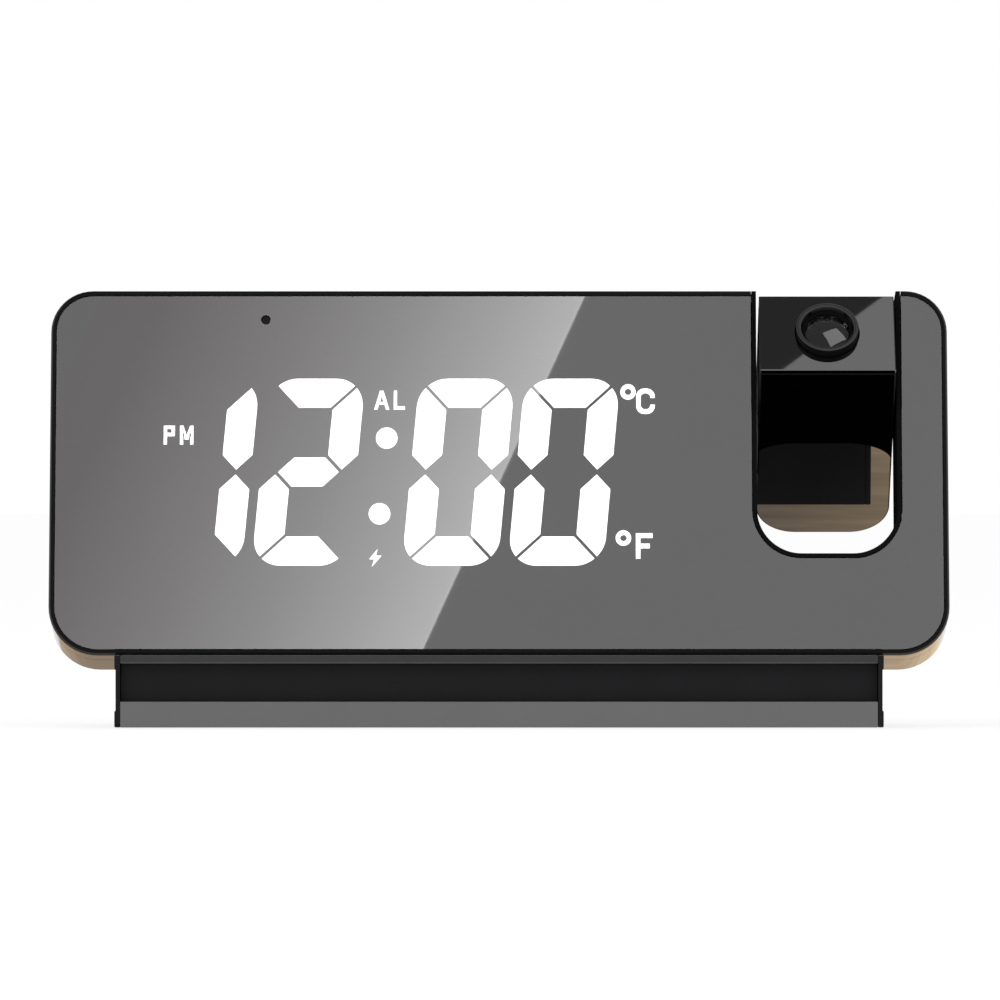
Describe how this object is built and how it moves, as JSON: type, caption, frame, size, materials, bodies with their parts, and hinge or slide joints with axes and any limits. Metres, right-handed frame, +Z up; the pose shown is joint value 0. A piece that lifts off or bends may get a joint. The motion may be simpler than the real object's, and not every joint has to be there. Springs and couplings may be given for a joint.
{
  "type": "projection alarm clock",
  "caption": "Desk alarm clock with a leaning mirror front, large lit digits and a small projector that tilts in a slot in its body.",
  "frame": {"origin": "middle of the underside of the foot, on the face of its soft pad", "axes": "+X to the right as seen from the front, +Y to the back, +Z up"},
  "size_m": [0.188, 0.059, 0.0915],
  "materials": {
    "mirror_lens": "one-way mirror acrylic",
    "gloss_black": "piano black",
    "satin_black": "fine moulded grain",
    "matte_black": "matte",
    "graphite_gloss": "glossy graphite",
    "button_black": "satin",
    "lit_white": "lit diffuser",
    "unlit_smoke": "dark diffuser",
    "circuit_green": "solder mask",
    "chip_black": "moulded epoxy",
    "led_yellow": "phosphor",
    "steel": "bright",
    "screw_steel": "black zinc",
    "nylon": "natural nylon",
    "foam": "foam",
    "pad_rubber": "matt rubber",
    "cell_jacket": "plain jacket",
    "clear_lens": "coated glass",
    "smoke_glass": "printed slide",
    "lead_red": "wire jacket",
    "lead_black": "wire jacket"
  },
  "bodies": {
    "clock_body": {"front_lens": "mirror_lens", "front_bezel": "gloss_black", "slot_liner": "gloss_black", "body_shell": "gloss_black", "rear_cover": "satin_black", "digit_frame": "matte_black", "lit_segments": "lit_white", "unlit_segments": "unlit_smoke", "indicator_segments": "lit_white", "segment_leds": "led_yellow", "display_board": "circuit_green", "light_sensor": "chip_black", "main_board": "circuit_green", "board_parts": "chip_black", "board_screws": "steel", "button_switches": "chip_black", "snooze_switch": "chip_black", "speaker": "chip_black", "speaker_gasket": "foam", "battery_cells": "cell_jacket", "battery_springs": "steel", "battery_plates": "steel", "power_board": "circuit_green", "power_socket": "steel", "cover_screws": "screw_steel", "hinge_bushes": "nylon", "foot_shell": "gloss_black", "foot_band": "matte_black", "foot_base": "graphite_gloss", "foot_end_caps": "gloss_black", "foot_pad": "pad_rubber", "foot_screws": "screw_steel", "seat_screws": "screw_steel", "board_leads": "lead_red", "projector_lead": "lead_black"},
    "projector": {"projector_case": "gloss_black", "projector_front_plate": "mirror_lens", "projector_lens_plate": "mirror_lens", "projector_back_cover": "gloss_black", "projector_screws": "screw_steel", "pivot_pins": "steel", "friction_washers": "nylon", "optics_frame": "matte_black", "condenser_lens": "clear_lens", "lcd_slide": "smoke_glass", "projection_led": "clear_lens", "led_board": "circuit_green", "head_lead": "lead_black"},
    "focus_ring_body": {"focus_ring": "gloss_black"},
    "lens_barrel_body": {"lens_barrel": "matte_black", "objective_lens": "clear_lens", "rear_lens": "clear_lens"},
    "snooze_bar_body": {"snooze_bar": "button_black"},
    "battery_door_body": {"battery_door": "satin_black"},
    "mode_button_body": {"mode_button": "button_black"},
    "set_button_body": {"set_button": "button_black"},
    "plus_button_body": {"plus_button": "button_black"},
    "minus_button_body": {"minus_button": "button_black"},
    "projection_button_body": {"projection_button": "button_black"}
  },
  "joints": [
    {"name": "projector_tilt", "type": "hinge", "parent": "clock_body", "child": "projector", "pos_m": [0.0686, 0.00357, 0.07021], "axis": [1, 0, 0], "range_deg": [-152.5, 27.5]},
    {"name": "focus_turn", "type": "hinge", "parent": "projector", "child": "focus_ring_body", "pos_m": [0.0686, 0.00357, 0.07021], "axis": [0, -0.7716, 0.6361], "range_deg": [-90, 90]},
    {"name": "focus_slide", "type": "slide", "parent": "projector", "child": "lens_barrel_body", "axis": [0, -0.7716, 0.6361], "range_m": [-0.0005, 0.0005]},
    {"name": "snooze_press", "type": "slide", "parent": "clock_body", "child": "snooze_bar_body", "axis": [0, -0.2079, -0.9781], "range_m": [0, 0.0006], "stiffness_N_per_m": 800, "springref_m": -0.0005},
    {"name": "battery_door_open", "type": "hinge", "parent": "clock_body", "child": "battery_door_body", "pos_m": [-0.03, 0.00516, 0.02888], "axis": [-1, 0, 0], "range_deg": [0, 75]},
    {"name": "mode_press", "type": "slide", "parent": "clock_body", "child": "mode_button_body", "axis": [0, -0.9781, 0.2079], "range_m": [0, 0.0005], "stiffness_N_per_m": 600, "springref_m": -0.0004},
    {"name": "set_press", "type": "slide", "parent": "clock_body", "child": "set_button_body", "axis": [0, -0.9781, 0.2079], "range_m": [0, 0.0005], "stiffness_N_per_m": 600, "springref_m": -0.0004},
    {"name": "plus_press", "type": "slide", "parent": "clock_body", "child": "plus_button_body", "axis": [0, -0.9781, 0.2079], "range_m": [0, 0.0005], "stiffness_N_per_m": 600, "springref_m": -0.0004},
    {"name": "minus_press", "type": "slide", "parent": "clock_body", "child": "minus_button_body", "axis": [0, -0.9781, 0.2079], "range_m": [0, 0.0005], "stiffness_N_per_m": 600, "springref_m": -0.0004},
    {"name": "projection_press", "type": "slide", "parent": "clock_body", "child": "projection_button_body", "axis": [0, -0.9781, 0.2079], "range_m": [0, 0.0005], "stiffness_N_per_m": 600, "springref_m": -0.0004}
  ],
  "couplings": [
    {"joint": "focus_turn", "follows": "focus_slide", "rad_per_m": 3140}
  ]
}
